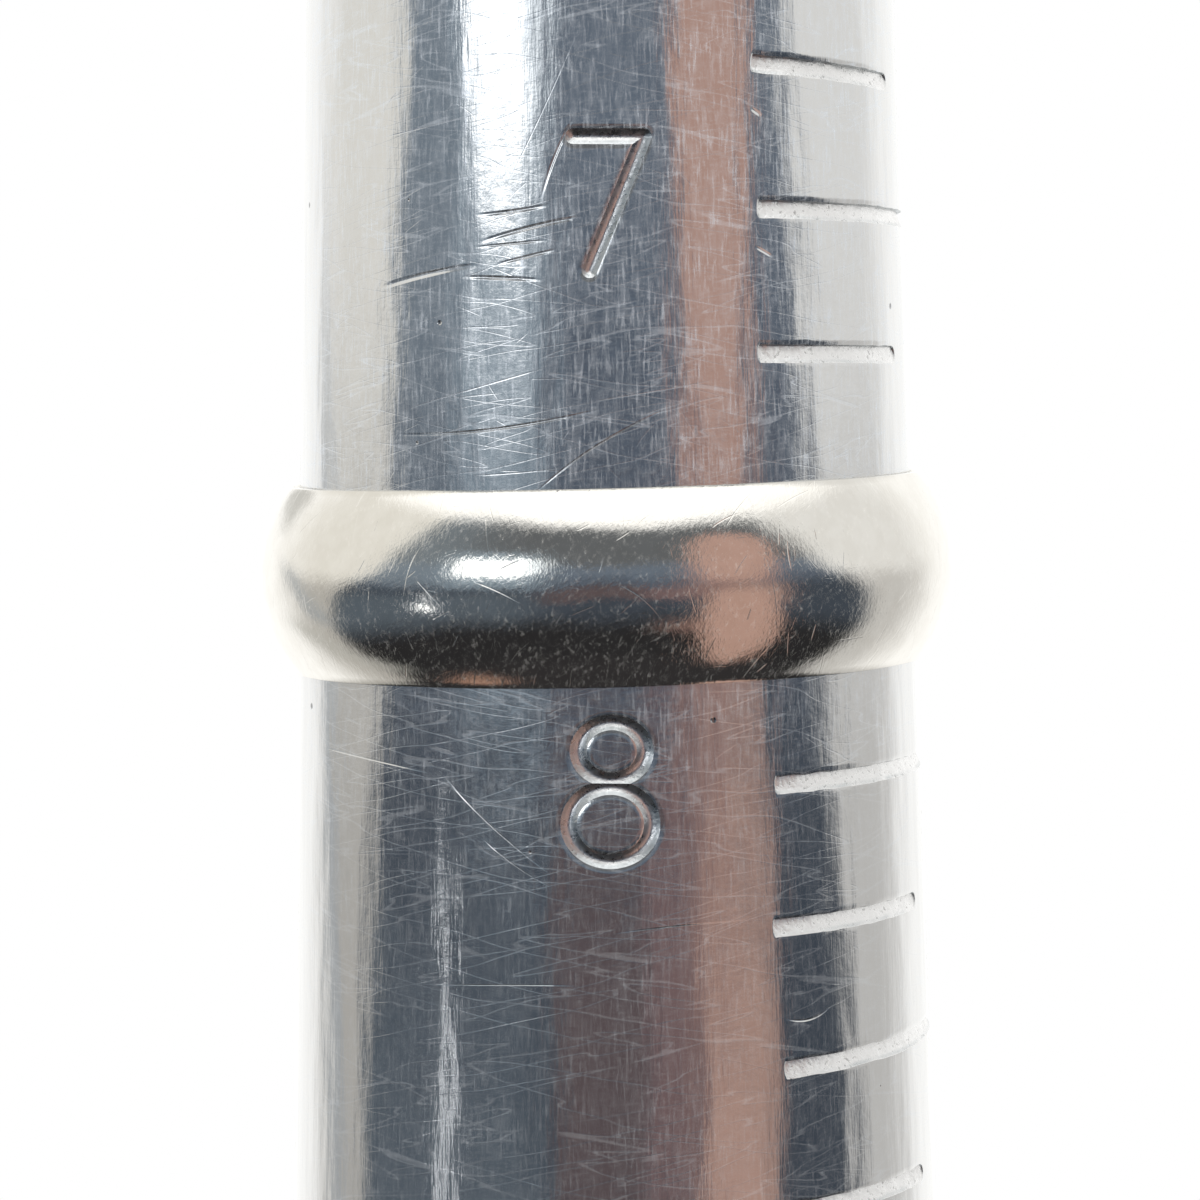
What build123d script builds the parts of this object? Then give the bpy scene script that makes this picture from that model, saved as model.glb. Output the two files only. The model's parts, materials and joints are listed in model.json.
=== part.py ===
"""Ring mandrel: a polished steel taper marked in US ring sizes, a turned wooden handle, and the band on it.

Millimetres. +Z runs along the axis from the handle's butt to the small end, the origin is the centre of
the butt face, and the sizes are read from -Y with the graduation lines on the +X side.
Every piece that comes apart on a bench is written to its own STEP file.
"""

import os
from math import cos, pi, radians, sin, sqrt, tan

from build123d import *

# The size scale: a US ring size is an inside diameter, and the sizes are evenly spaced along the taper
DIAMETER_AT_ZERO = 11.63
DIAMETER_PER_SIZE = 0.8128
SIZE_PITCH = 15.65
FIRST_SIZE, LAST_SIZE = 1, 15
LINES_PER_SIZE = 4
TIP_BLANK = 9.0  # plain metal beyond the first line
HEEL_BLANK = 8.0  # plain metal beyond the last line

# Shaft ends and the tang that goes through the handle
TIP_ROUND = 1.6
HEEL_CHAMFER = 0.5
TANG_SQUARE = 12.0
TANG_SQUARE_LENGTH = 36.0
TANG_RADIUS = 4.5
THREAD_RADIUS = 4.0
THREAD_LENGTH = 19.0
THREAD_END_Z = 1.6
TANG_CHAMFER = 0.6

# Marks: lines cut round the +X side and numerals stamped on the -Y side
MARK_DEPTH = 0.22
LINE_WIDTH = 0.5
LINE_START_DEG = 29.0
QUARTER_END_DEG, HALF_END_DEG, WHOLE_END_DEG = 70.0, 100.0, 115.0
NUMERAL_HEIGHT = 4.05
NUMERAL_STROKE = 0.45
NUMERAL_SPACING = 2.7
SKIN_CLEAR = 0.6  # how far the cutters stand proud of the metal

# Handle, ferrule and fasteners
HANDLE_LENGTH = 104.0
FERRULE_LENGTH = 17.0
FERRULE_RADIUS = 12.6
FERRULE_WALL = 0.9
FERRULE_LIP = 1.0
FERRULE_MOUTH_RADIUS = 9.0
BEAD_RADIUS = 0.7
PIN_RADIUS = 1.0
PIN_LENGTH = 5.2
PIN_DROP = 8.5  # below the front of the ferrule
BORE_CLEARANCE = 0.1
RECESS_RADIUS = 9.2
RECESS_DEPTH = 10.0
WASHER_RADIUS, WASHER_HOLE_RADIUS, WASHER_THICKNESS = 8.0, 4.2, 1.6
NUT_ACROSS_FLATS = 13.0
NUT_HEIGHT = 5.0
NUT_CHAMFER_DEG = 30.0

# The band: half-round outside, plain bore, pushed on by hand so that it leans a little
BAND_SIZE = 7.82  # the size its lower rim reads
BAND_WIDTH = 5.36
BAND_THICKNESS = 1.05
BAND_DOME_RADIUS = 4.4
BAND_EDGE_ROUND = 0.05
BAND_LEAN_DEG = 0.7
BAND_CLEARANCE = 0.04


def radius_at_size(size):
    """Radius of the taper where that ring size is read."""
    return (DIAMETER_AT_ZERO + DIAMETER_PER_SIZE * size) / 2


def z_at_size(size):
    """Height of a ring size above the butt face."""
    return HANDLE_LENGTH + HEEL_BLANK + (LAST_SIZE - size) * SIZE_PITCH


TAPER = DIAMETER_PER_SIZE / 2 / SIZE_PITCH  # radius gained per millimetre towards the heel
TIP_Z = z_at_size(FIRST_SIZE) + TIP_BLANK
TIP_RADIUS = radius_at_size(FIRST_SIZE) - (TIP_BLANK - TIP_ROUND) * TAPER  # where the rounding starts
HEEL_RADIUS = radius_at_size(LAST_SIZE) + HEEL_BLANK * TAPER


def revolved(*edges):
    """Solid of revolution about Z from edges drawn in (radius, height), closed along the axis."""
    outline = Wire(edges)
    start, end = outline @ 0, outline @ 1
    if (start - end).length > 1e-6:
        edges = (*edges, Line(end, start))
    return revolve(Plane.XZ * make_face(edges), Axis.Z)


def cylinder(radius, low, high):
    """Upright cylinder on the axis between two heights."""
    return Pos(0, 0, low) * Cylinder(radius, high - low, align=(Align.CENTER, Align.CENTER, Align.MIN))


# ---------------------------------------------------------------- marks


def stroke(edge):
    """One stroke of a numeral: a slot with round ends along a centre line."""
    return SlotArc(edge, NUMERAL_STROKE)


def loop(centre_y, half_width, half_height):
    """A closed oval stroke, given by its centre line."""
    half = NUMERAL_STROKE / 2
    oval = Ellipse(half_width + half, half_height + half) - Ellipse(half_width - half, half_height - half)
    return Pos(0, centre_y) * oval


def numeral(digit):
    """Sketch of one digit about its own centre, in the plain style of a set of number punches."""
    top = (NUMERAL_HEIGHT - NUMERAL_STROKE) / 2
    bowl = 1.02  # radius of the larger bowls
    if digit == "0":
        return loop(0, 0.98, top)
    if digit == "1":
        return stroke(Line((0, -top), (0, top))) + stroke(Line((0, top), (-0.6, top - 0.55)))
    if digit == "2":
        arc = CenterArc((0, top - 0.95), 0.95, 170, -205)
        corner = (-0.95, -top)
        return stroke(arc) + stroke(Line(arc @ 1, corner)) + stroke(Line(corner, (0.95, -top)))
    if digit == "3":
        upper = CenterArc((-0.05, top - 0.84), 0.84, 150, -240)
        lower = CenterArc((-0.05, bowl - 0.05 - top), bowl - 0.05, 90, -240)
        return stroke(upper) + stroke(lower)
    if digit == "4":
        bar_y = -0.6
        upright = Line((0.45, -top), (0.45, top))
        slope = Line((0.45, top), (-1.0, bar_y))
        return stroke(upright) + stroke(slope) + stroke(Line((-1.0, bar_y), (1.0, bar_y)))
    if digit == "5":
        belly = CenterArc((-0.05, bowl - top), bowl, 130, -280)
        shoulder = (-0.68, top)
        return stroke(belly) + stroke(Line(belly @ 0, shoulder)) + stroke(Line(shoulder, (0.8, top)))
    if digit in "69":
        tail = ThreePointArc((-bowl, bowl - top), (-0.62, 0.85), (0.6, top))
        six = loop(bowl - top, bowl, bowl) + stroke(tail)
        return six if digit == "6" else Rot(0, 0, 180) * six
    if digit == "7":
        corner = (0.9, top)
        return stroke(Line((-0.75, top), corner)) + stroke(Line(corner, (-0.5, -top)))
    return loop(top - 0.75, 0.93, 0.75) + loop(0.96 - top, 1.11, 0.96)


def numeral_prisms():
    """The whole sizes as upright prisms standing on the -Y side of the taper."""
    prisms = []
    for size in range(FIRST_SIZE, LAST_SIZE + 1):
        text = str(size)
        depth = radius_at_size(size)
        for place, digit in enumerate(text):
            across = (place - (len(text) - 1) / 2) * NUMERAL_SPACING
            face = Plane((across, -depth - SKIN_CLEAR, z_at_size(size)), x_dir=(1, 0, 0), z_dir=(0, -1, 0))
            prisms.append(extrude(face * numeral(digit), -depth / 2))
    return prisms


def skin():
    """The layer of the taper that the numeral punches reach, from MARK_DEPTH deep to just outside."""
    low, high = HANDLE_LENGTH, TIP_Z - TIP_ROUND
    inner = Line((HEEL_RADIUS - MARK_DEPTH, low), (TIP_RADIUS - MARK_DEPTH, high))
    top = Line(inner @ 1, (TIP_RADIUS + SKIN_CLEAR, high))
    outer = Line(top @ 1, (HEEL_RADIUS + SKIN_CLEAR, low))
    return revolved(inner, top, outer)


def graduation_lines():
    """A groove at every quarter size: whole sizes run furthest round, quarters least."""
    grooves = []
    for step in range((LAST_SIZE - FIRST_SIZE) * LINES_PER_SIZE + 1):
        size = FIRST_SIZE + step / LINES_PER_SIZE
        end = QUARTER_END_DEG
        if step % LINES_PER_SIZE == 0:
            end = WHOLE_END_DEG
        elif step % LINES_PER_SIZE == LINES_PER_SIZE // 2:
            end = HALF_END_DEG
        radius, z = radius_at_size(size), z_at_size(size)
        section = Pos(radius - MARK_DEPTH, z) * Rectangle(
            MARK_DEPTH + SKIN_CLEAR, LINE_WIDTH, align=(Align.MIN, Align.CENTER)
        )
        # the section starts on +X, and -Y is a quarter turn clockwise of it
        groove = revolve(Plane.XZ * section, Axis.Z, revolution_arc=end - LINE_START_DEG)
        grooves.append(Rot(0, 0, LINE_START_DEG - 90) * groove)
    return grooves


# ---------------------------------------------------------------- pieces


def tapered_shaft():
    """The marked taper with its square tang, round tail and threaded end, turned from one bar."""
    centre_z = TIP_Z - TIP_ROUND
    flat = TIP_RADIUS - TIP_ROUND
    mid = TIP_ROUND * sqrt(0.5)
    nose = Line((0, TIP_Z), (flat, TIP_Z))
    round_off = ThreePointArc(nose @ 1, (flat + mid, centre_z + mid), (TIP_RADIUS, centre_z))
    slope = Line(round_off @ 1, (HEEL_RADIUS - HEEL_CHAMFER * TAPER, HANDLE_LENGTH + HEEL_CHAMFER))
    chamfer_edge = Line(slope @ 1, (HEEL_RADIUS - HEEL_CHAMFER, HANDLE_LENGTH))
    heel = Line(chamfer_edge @ 1, (0, HANDLE_LENGTH))
    body = revolved(nose, round_off, slope, chamfer_edge, heel)

    square_low = HANDLE_LENGTH - TANG_SQUARE_LENGTH
    thread_high = THREAD_END_Z + THREAD_LENGTH
    square = Pos(0, 0, square_low) * Box(
        TANG_SQUARE, TANG_SQUARE, TANG_SQUARE_LENGTH, align=(Align.CENTER, Align.CENTER, Align.MIN)
    )
    tail = cylinder(TANG_RADIUS, thread_high, square_low)
    thread = cylinder(THREAD_RADIUS, THREAD_END_Z, thread_high)
    thread = chamfer(thread.edges().sort_by(Axis.Z)[0], TANG_CHAMFER)
    blank = body + square + tail + thread

    stamped = Compound(numeral_prisms()) & skin()
    return blank - stamped - graduation_lines()


def ferrule():
    """Drawn metal cap round the neck of the handle, with a beaded rear edge and a lip under the heel."""
    low, high = HANDLE_LENGTH - FERRULE_LENGTH, HANDLE_LENGTH
    inner = FERRULE_RADIUS - FERRULE_WALL
    cup = cylinder(FERRULE_RADIUS, low, high) - cylinder(inner, low, high - FERRULE_LIP)
    cup -= cylinder(FERRULE_MOUTH_RADIUS, high - FERRULE_LIP, high)
    top_circles = cup.edges().filter_by(GeomType.CIRCLE).group_by(Axis.Z)[-1]
    cup = fillet(top_circles.sort_by(SortBy.RADIUS)[-1], 0.4)
    bead = Pos(0, 0, low + BEAD_RADIUS) * Torus(FERRULE_RADIUS - 0.1, BEAD_RADIUS)
    return cup + (bead - cylinder(inner, low, high)) - pin_hole()


def pin_hole():
    """Radial hole for the ferrule pin, on the +Y side."""
    start = FERRULE_RADIUS - PIN_LENGTH
    face = Plane((0, start, HANDLE_LENGTH - PIN_DROP), x_dir=(1, 0, 0), z_dir=(0, 1, 0))
    return extrude(face * Circle(PIN_RADIUS), PIN_LENGTH + 1)


def ferrule_pin():
    """Short pin through the ferrule into the wood, filed flush with the ferrule."""
    return pin_hole() & cylinder(FERRULE_RADIUS, 0, HANDLE_LENGTH)


def handle():
    """Turned hardwood handle: neck for the ferrule, bead, waist, palm swell and a recessed butt."""
    neck_radius = FERRULE_RADIUS - FERRULE_WALL
    neck_top = HANDLE_LENGTH - FERRULE_LIP
    neck_low = HANDLE_LENGTH - FERRULE_LENGTH
    butt_radius = 11.6
    top = Line((0, neck_top), (neck_radius, neck_top))
    neck = Line(top @ 1, (neck_radius, neck_low))
    shoulder = Line(neck @ 1, (FERRULE_RADIUS + 0.4, neck_low))
    bead = ThreePointArc(shoulder @ 1, (FERRULE_RADIUS + 1.7, neck_low - 3.0), (12.6, neck_low - 6.4))
    swell = Spline(
        bead @ 1,
        (12.1, neck_low - 12.0),
        (15.6, neck_low - 38.0),
        (14.0, 22.0),
        (15.2, 8.0),
        tangents=((-0.35, -1), (-0.1, -1)),
    )
    rounding = ThreePointArc(swell @ 1, (14.0, 2.4), (butt_radius, 0))
    butt = Line(rounding @ 1, (0, 0))
    wood = revolved(top, neck, shoulder, bead, swell, rounding, butt)

    square_low = HANDLE_LENGTH - TANG_SQUARE_LENGTH
    mortise = Pos(0, 0, square_low) * Box(
        TANG_SQUARE, TANG_SQUARE, TANG_SQUARE_LENGTH, align=(Align.CENTER, Align.CENTER, Align.MIN)
    )
    bore = cylinder(TANG_RADIUS + BORE_CLEARANCE, 0, square_low)
    recess = cylinder(RECESS_RADIUS, 0, RECESS_DEPTH)
    return wood - mortise - bore - recess - pin_hole()


def butt_washer():
    """Flat washer at the bottom of the recess."""
    low = RECESS_DEPTH - WASHER_THICKNESS
    disc = cylinder(WASHER_RADIUS, low, RECESS_DEPTH) - cylinder(WASHER_HOLE_RADIUS, low, RECESS_DEPTH)
    return chamfer(disc.edges().filter_by(GeomType.CIRCLE).sort_by(SortBy.RADIUS)[-2:], 0.2)


def tang_nut():
    """Hexagon nut that draws the shaft's heel down on the ferrule."""
    high = RECESS_DEPTH - WASHER_THICKNESS
    low = high - NUT_HEIGHT
    corner = NUT_ACROSS_FLATS / 2 / cos(pi / 6)
    drop = (corner - NUT_ACROSS_FLATS / 2 + 0.3) * tan(radians(NUT_CHAMFER_DEG))
    hexagon = Pos(0, 0, low) * extrude(RegularPolygon(corner, 6), NUT_HEIGHT)
    inner = NUT_ACROSS_FLATS / 2 - 0.3
    turned = revolved(
        Line((0, high), (inner, high)),
        Line((inner, high), (corner, high - drop)),
        Line((corner, high - drop), (corner, low + drop)),
        Line((corner, low + drop), (inner, low)),
        Line((inner, low), (0, low)),
    )
    return (hexagon & turned) - cylinder(THREAD_RADIUS, low, high)


def ring_band():
    """Plain half-round band whose lower rim sits on the taper."""
    bore = radius_at_size(BAND_SIZE) + BAND_CLEARANCE
    half = BAND_WIDTH / 2
    crown = bore + BAND_THICKNESS
    rim = crown - BAND_DOME_RADIUS + sqrt(BAND_DOME_RADIUS**2 - half**2)
    sides = [
        Line((bore, -half), (bore, half)),
        Line((bore, half), (rim, half)),
        ThreePointArc((rim, half), (crown, 0), (rim, -half)),
        Line((rim, -half), (bore, -half)),
    ]
    section = make_face(sides)
    section = fillet(section.vertices(), BAND_EDGE_ROUND)
    band = revolve(Plane.XZ * section, Axis.Z)
    lift = half * cos(radians(BAND_LEAN_DEG)) + bore * sin(radians(BAND_LEAN_DEG)) / 4
    return Pos(0, 0, z_at_size(BAND_SIZE) + lift) * Rot(0, -BAND_LEAN_DEG, 0) * band


PIECES = {
    "tapered_shaft": tapered_shaft,
    "ferrule": ferrule,
    "ferrule_pin": ferrule_pin,
    "handle": handle,
    "butt_washer": butt_washer,
    "tang_nut": tang_nut,
    "ring_band": ring_band,
}

os.makedirs("parts", exist_ok=True)
for name, make in PIECES.items():
    export_step(make(), f"parts/{name}.step")
print("tip at", round(TIP_Z, 2))
print("tip diameter", round(2 * TIP_RADIUS, 2), "heel diameter", round(2 * HEEL_RADIUS, 2))
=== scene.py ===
"""Ring mandrel: a scratched steel taper with stamped sizes, a silver band on it, and a wooden handle.

Lengths in the making are millimetres; each piece is brought to metres when it is finished.
"""

import json
import random
from math import asin, atan2, cos, degrees, pi, radians, sin, sqrt, tau

import bmesh
import bpy
from mathutils import Matrix, Vector, noise

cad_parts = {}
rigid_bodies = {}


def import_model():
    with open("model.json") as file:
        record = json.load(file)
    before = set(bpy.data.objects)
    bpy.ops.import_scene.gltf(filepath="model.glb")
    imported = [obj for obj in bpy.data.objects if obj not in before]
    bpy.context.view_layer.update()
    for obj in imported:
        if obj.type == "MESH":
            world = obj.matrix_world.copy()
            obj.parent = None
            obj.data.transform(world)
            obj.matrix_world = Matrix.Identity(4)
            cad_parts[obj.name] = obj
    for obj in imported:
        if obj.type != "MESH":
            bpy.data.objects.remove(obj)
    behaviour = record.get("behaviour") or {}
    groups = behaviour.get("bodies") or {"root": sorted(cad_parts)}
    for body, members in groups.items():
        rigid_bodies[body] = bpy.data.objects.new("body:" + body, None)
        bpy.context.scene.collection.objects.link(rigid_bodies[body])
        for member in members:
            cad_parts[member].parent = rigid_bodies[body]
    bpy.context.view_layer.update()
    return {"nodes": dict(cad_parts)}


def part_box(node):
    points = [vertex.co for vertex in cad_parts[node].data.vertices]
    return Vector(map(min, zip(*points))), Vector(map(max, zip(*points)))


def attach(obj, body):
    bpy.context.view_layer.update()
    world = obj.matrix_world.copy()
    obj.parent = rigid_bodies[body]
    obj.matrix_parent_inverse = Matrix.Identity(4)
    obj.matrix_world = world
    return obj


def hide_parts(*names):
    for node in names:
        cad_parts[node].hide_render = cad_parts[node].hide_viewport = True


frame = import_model()
random.seed(7)
MM = 0.001

# ---------------------------------------------------------------- the size scale, as the maker marks it

FIRST_SIZE, LAST_SIZE = 1, 15
DIAMETER_AT_ZERO, DIAMETER_PER_SIZE = 11.63, 0.8128
SIZE_PITCH = 15.65
TIP_BLANK, HEEL_BLANK = 9.0, 8.0
TAPER = DIAMETER_PER_SIZE / 2 / SIZE_PITCH
TIP_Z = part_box("tapered_shaft")[1][2] / MM
HEEL_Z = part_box("ferrule")[1][2] / MM


def radius_at(z):
    """Radius of the taper at a height."""
    size = LAST_SIZE - (z - HEEL_Z - HEEL_BLANK) / SIZE_PITCH
    return (DIAMETER_AT_ZERO + DIAMETER_PER_SIZE * size) / 2


def height_of(size):
    """Height at which a ring size is read."""
    return HEEL_Z + HEEL_BLANK + (LAST_SIZE - size) * SIZE_PITCH


# ---------------------------------------------------------------- camera

EYE_DISTANCE = 116.0  # from the shaft's axis
EYE_SIDE = -0.2
EYE_ABOVE = 7.96  # above the level it looks at
LOOKED_AT_SIZE = 7.75
EYE_DOWN_DEG, EYE_ROLL_DEG = 3.572, -0.78
LENS_MM, SENSOR_MM = 119.7, 36.0


def place_camera():
    """A long lens close to the shaft, looking very slightly down on the band."""
    data = bpy.data.cameras.new("camera")
    data.lens, data.sensor_width = LENS_MM, SENSOR_MM
    data.clip_start, data.clip_end = 0.005, 50
    camera = bpy.data.objects.new("camera", data)
    bpy.context.scene.collection.objects.link(camera)
    eye = Vector((EYE_SIDE, -EYE_DISTANCE, height_of(LOOKED_AT_SIZE) + EYE_ABOVE)) * MM
    level = Matrix.Rotation(radians(90 - EYE_DOWN_DEG), 4, "X")
    aim = level @ Matrix.Rotation(radians(EYE_ROLL_DEG), 4, "Z")
    camera.matrix_world = Matrix.Translation(eye) @ aim
    bpy.context.scene.camera = camera


place_camera()

# ---------------------------------------------------------------- helpers for node trees


def add(tree, kind, inputs=None, **settings):
    """A node with its settings; inputs are values or the sockets that feed them."""
    node = tree.nodes.new(kind)
    for key, value in settings.items():
        setattr(node, key, value)
    for key, value in (inputs or {}).items():
        if isinstance(value, bpy.types.NodeSocket):
            tree.links.new(value, node.inputs[key])
        else:
            node.inputs[key].default_value = value
    return node


def sums(tree, operation, *values, clamp=False):
    """A Math node's result."""
    inputs = dict(enumerate(values))
    return add(tree, "ShaderNodeMath", inputs, operation=operation, use_clamp=clamp).outputs[0]


def vectors(tree, operation, first, second):
    """A Vector Math node's result."""
    return add(tree, "ShaderNodeVectorMath", {0: first, 1: second}, operation=operation).outputs[0]


def scaled_by(tree, vector, factor):
    """A vector made longer or shorter by a number."""
    return add(tree, "ShaderNodeVectorMath", {0: vector, "Scale": factor}, operation="SCALE").outputs[0]


def turned_back(tree, vector, angle):
    """A vector turned back by an angle about the third axis."""
    inputs = {"Vector": vector, "Angle": sums(tree, "MULTIPLY", angle, -1.0)}
    return add(tree, "ShaderNodeVectorRotate", inputs, rotation_type="Z_AXIS").outputs[0]


def flat_cells(tree, vector):
    """The cells of a flat Voronoi pattern, one unit across."""
    inputs = {"Vector": vector, "Scale": 1.0, "Randomness": 1.0}
    return add(tree, "ShaderNodeTexVoronoi", inputs, voronoi_dimensions="2D").outputs


def grain_noise(tree, vector, detail, roughness):
    """A noise texture one unit across."""
    inputs = {"Vector": vector, "Scale": 1.0, "Detail": detail, "Roughness": roughness}
    return add(tree, "ShaderNodeTexNoise", inputs).outputs[0]


def ease(tree, value, low, high, to_low=0.0, to_high=1.0):
    """A smooth step from low to high."""
    inputs = {"Value": value, "From Min": low, "From Max": high, "To Min": to_low, "To Max": to_high}
    return add(tree, "ShaderNodeMapRange", inputs, interpolation_type="SMOOTHSTEP").outputs["Result"]


def part_along(tree, vector, direction):
    """How far a vector goes along a direction of length one."""
    node = add(tree, "ShaderNodeVectorMath", {0: vector, 1: direction}, operation="DOT_PRODUCT")
    return node.outputs["Value"]


def mixed(tree, factor, under, over, blend="MIX"):
    """One colour laid over another by a mask."""
    node = add(tree, "ShaderNodeMix", {0: factor}, data_type="RGBA", blend_type=blend)
    for slot, value in ((6, under), (7, over)):
        if isinstance(value, bpy.types.NodeSocket):
            tree.links.new(value, node.inputs[slot])
        else:
            node.inputs[slot].default_value = (*value, 1.0)
    return node.outputs[2]


def new_group(name, inputs, outputs):
    """A shader node group with float, vector or colour sockets; returns the tree and its two ends."""
    kinds = {"float": "NodeSocketFloat", "vector": "NodeSocketVector", "colour": "NodeSocketColor"}
    tree = bpy.data.node_groups.new(name, "ShaderNodeTree")
    for label, (kind, default) in inputs.items():
        socket = tree.interface.new_socket(label, in_out="INPUT", socket_type=kinds[kind])
        if default is not None:
            socket.default_value = default
    for label, kind in outputs.items():
        tree.interface.new_socket(label, in_out="OUTPUT", socket_type=kinds[kind])
    return tree, tree.nodes.new("NodeGroupInput").outputs, tree.nodes.new("NodeGroupOutput").inputs


def use(tree, group, **inputs):
    """A group placed in a tree; underscores in the input names stand for spaces."""
    node = tree.nodes.new("ShaderNodeGroup")
    node.node_tree = group
    for key, value in inputs.items():
        socket = node.inputs[key.replace("_", " ")]
        if isinstance(value, bpy.types.NodeSocket):
            tree.links.new(value, socket)
        else:
            socket.default_value = value
    return node.outputs


# ---------------------------------------------------------------- the studio

FULL = 1 / 0.70  # brightness that polished steel shows as white


def soft_panel_group():
    """A rectangle in the studio with soft edges, by direction."""
    tree, ends, out = new_group(
        "soft panel",
        {
            "Azimuth": ("float", 0),
            "Elevation": ("float", 0),
            "Left": ("float", -10),
            "Right": ("float", 10),
            "Low": ("float", -10),
            "High": ("float", 10),
            "Side Edge": ("float", 3),
            "End Edge": ("float", 3),
        },
        {"Mask": "float"},
    )

    def inside(value, low, high, edge):
        rise = ease(tree, value, sums(tree, "SUBTRACT", low, edge), sums(tree, "ADD", low, edge))
        fall = ease(tree, value, sums(tree, "SUBTRACT", high, edge), sums(tree, "ADD", high, edge), 1.0, 0.0)
        return sums(tree, "MULTIPLY", rise, fall)

    across = inside(ends["Azimuth"], ends["Left"], ends["Right"], ends["Side Edge"])
    up = inside(ends["Elevation"], ends["Low"], ends["High"], ends["End Edge"])
    tree.links.new(sums(tree, "MULTIPLY", across, up), out["Mask"])
    return tree


def build_studio():
    """Pale walls and ceiling, a dark screen in front, a window to the left and a warm card to the right."""
    world = bpy.data.worlds.new("studio")
    bpy.context.scene.world = world
    world.use_nodes = True
    world.cycles.sampling_method = "NONE"
    tree = world.node_tree
    tree.nodes.clear()
    panel = soft_panel_group()

    way = add(tree, "ShaderNodeTexCoord").outputs["Generated"]
    axes = add(tree, "ShaderNodeSeparateXYZ", {0: way}).outputs
    turn = sums(tree, "ARCTAN2", axes["X"], sums(tree, "MULTIPLY", axes["Y"], -1.0))
    azimuth = sums(tree, "DEGREES", turn)
    elevation = sums(tree, "DEGREES", sums(tree, "ARCSINE", axes["Z"]))
    away = sums(tree, "ABSOLUTE", azimuth)

    def card(colour, left, right, low, high, side, end, under, strength=1.0):
        """A soft rectangle: its span in azimuth and elevation, the softness of its sides and ends."""
        mask = use(
            tree, panel, Azimuth=azimuth, Elevation=elevation, Left=left, Right=right, Low=low, High=high,
            Side_Edge=side, End_Edge=end,
        )["Mask"]
        if strength != 1.0:
            mask = sums(tree, "MULTIPLY", mask, strength)
        return mixed(tree, mask, under, colour)

    def oval(colour, middle_az, middle_el, half_wide, half_high, under, slope=0.0):
        """A soft, slightly squared oval; the slope is how far it leans in azimuth for each degree up."""
        level = sums(tree, "SUBTRACT", elevation, middle_el)
        middle = sums(tree, "MULTIPLY_ADD", level, slope, middle_az)
        powers = [
            sums(tree, "POWER", sums(tree, "DIVIDE", sums(tree, "ABSOLUTE", value), half), 2.4)
            for value, half in ((sums(tree, "SUBTRACT", azimuth, middle), half_wide), (level, half_high))
        ]
        return mixed(tree, ease(tree, sums(tree, "ADD", *powers), 0.6, 1.4, 1.0, 0.0), under, colour)

    def slanting_band(left, right, low, high, strength, colour, under):
        """A soft band that drifts in azimuth as it rises."""
        mask = use(
            tree, panel, Azimuth=slant, Elevation=elevation, Left=left, Right=right, Low=low, High=high,
            Side_Edge=6.0, End_Edge=4.0,
        )["Mask"]
        return mixed(tree, sums(tree, "MULTIPLY", mask, strength), under, colour)

    # walls: warm on the left, neutral on the right, brighter behind, darker below eye level
    side = ease(tree, azimuth, -40, 40)
    wall_high = mixed(tree, side, (0.645, 0.635, 0.60), (0.63, 0.63, 0.62))
    wall_low = mixed(tree, side, (0.37, 0.36, 0.34), (0.45, 0.445, 0.435))
    wall = mixed(tree, ease(tree, elevation, -5, 4), wall_low, wall_high)
    behind = ease(tree, away, 112, 143)
    wall = mixed(tree, behind, wall, (0.83, 0.83, 0.82))
    # a slanting soft shadow on the left wall
    slant = sums(tree, "ADD", azimuth, elevation)
    wall = slanting_band(-131.0, -123.0, -18.0, 2.0, 0.8, (0.25, 0.28, 0.31), wall)

    # the dark screen, wider towards the floor
    lean = sums(tree, "MULTIPLY", sums(tree, "MAXIMUM", elevation, -22.0), -0.45)
    step = sums(tree, "MINIMUM", sums(tree, "MAXIMUM", elevation, -8.0), 6.0)
    spread = sums(tree, "SUBTRACT", lean, step)
    left_gap = sums(tree, "ADD", sums(tree, "ADD", azimuth, 88.0), spread)
    right_gap = sums(tree, "ADD", sums(tree, "SUBTRACT", 82.5, azimuth), spread)
    dark = sums(tree, "MULTIPLY", ease(tree, left_gap, -6, 6), ease(tree, right_gap, -7, 7))
    screen = mixed(tree, ease(tree, elevation, 1, 7), (0.078, 0.096, 0.126), (0.112, 0.138, 0.176))
    screen = mixed(tree, ease(tree, elevation, -5, 1), (0.042, 0.052, 0.068), screen)
    screen = mixed(tree, ease(tree, elevation, 9, 16), screen, (0.10, 0.107, 0.115))
    screen = mixed(tree, ease(tree, elevation, -34, -16), (0.018, 0.018, 0.019), screen)
    blue = sums(tree, "MULTIPLY", ease(tree, azimuth, -66, -28, 0.45, 0.0), ease(tree, elevation, -4, 3))
    screen = mixed(tree, blue, screen, (0.20, 0.245, 0.285))
    blue = sums(tree, "MULTIPLY", ease(tree, elevation, -9, -3, 0.28, 0.0), ease(tree, elevation, -32, -16))
    blue = sums(tree, "MULTIPLY", blue, ease(tree, azimuth, -40, -10, 1.0, 0.0))
    screen = mixed(tree, blue, screen, (0.16, 0.20, 0.235))
    room = mixed(tree, dark, wall, screen)
    room = mixed(tree, ease(tree, elevation, 37, 49), room, (0.98, 0.98, 0.97))
    room = mixed(tree, ease(tree, elevation, 50, 66), room, (1.35, 1.35, 1.34))
    room = mixed(tree, ease(tree, elevation, -58, -44, 1.0, 0.0), room, (0.024, 0.023, 0.024))

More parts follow.
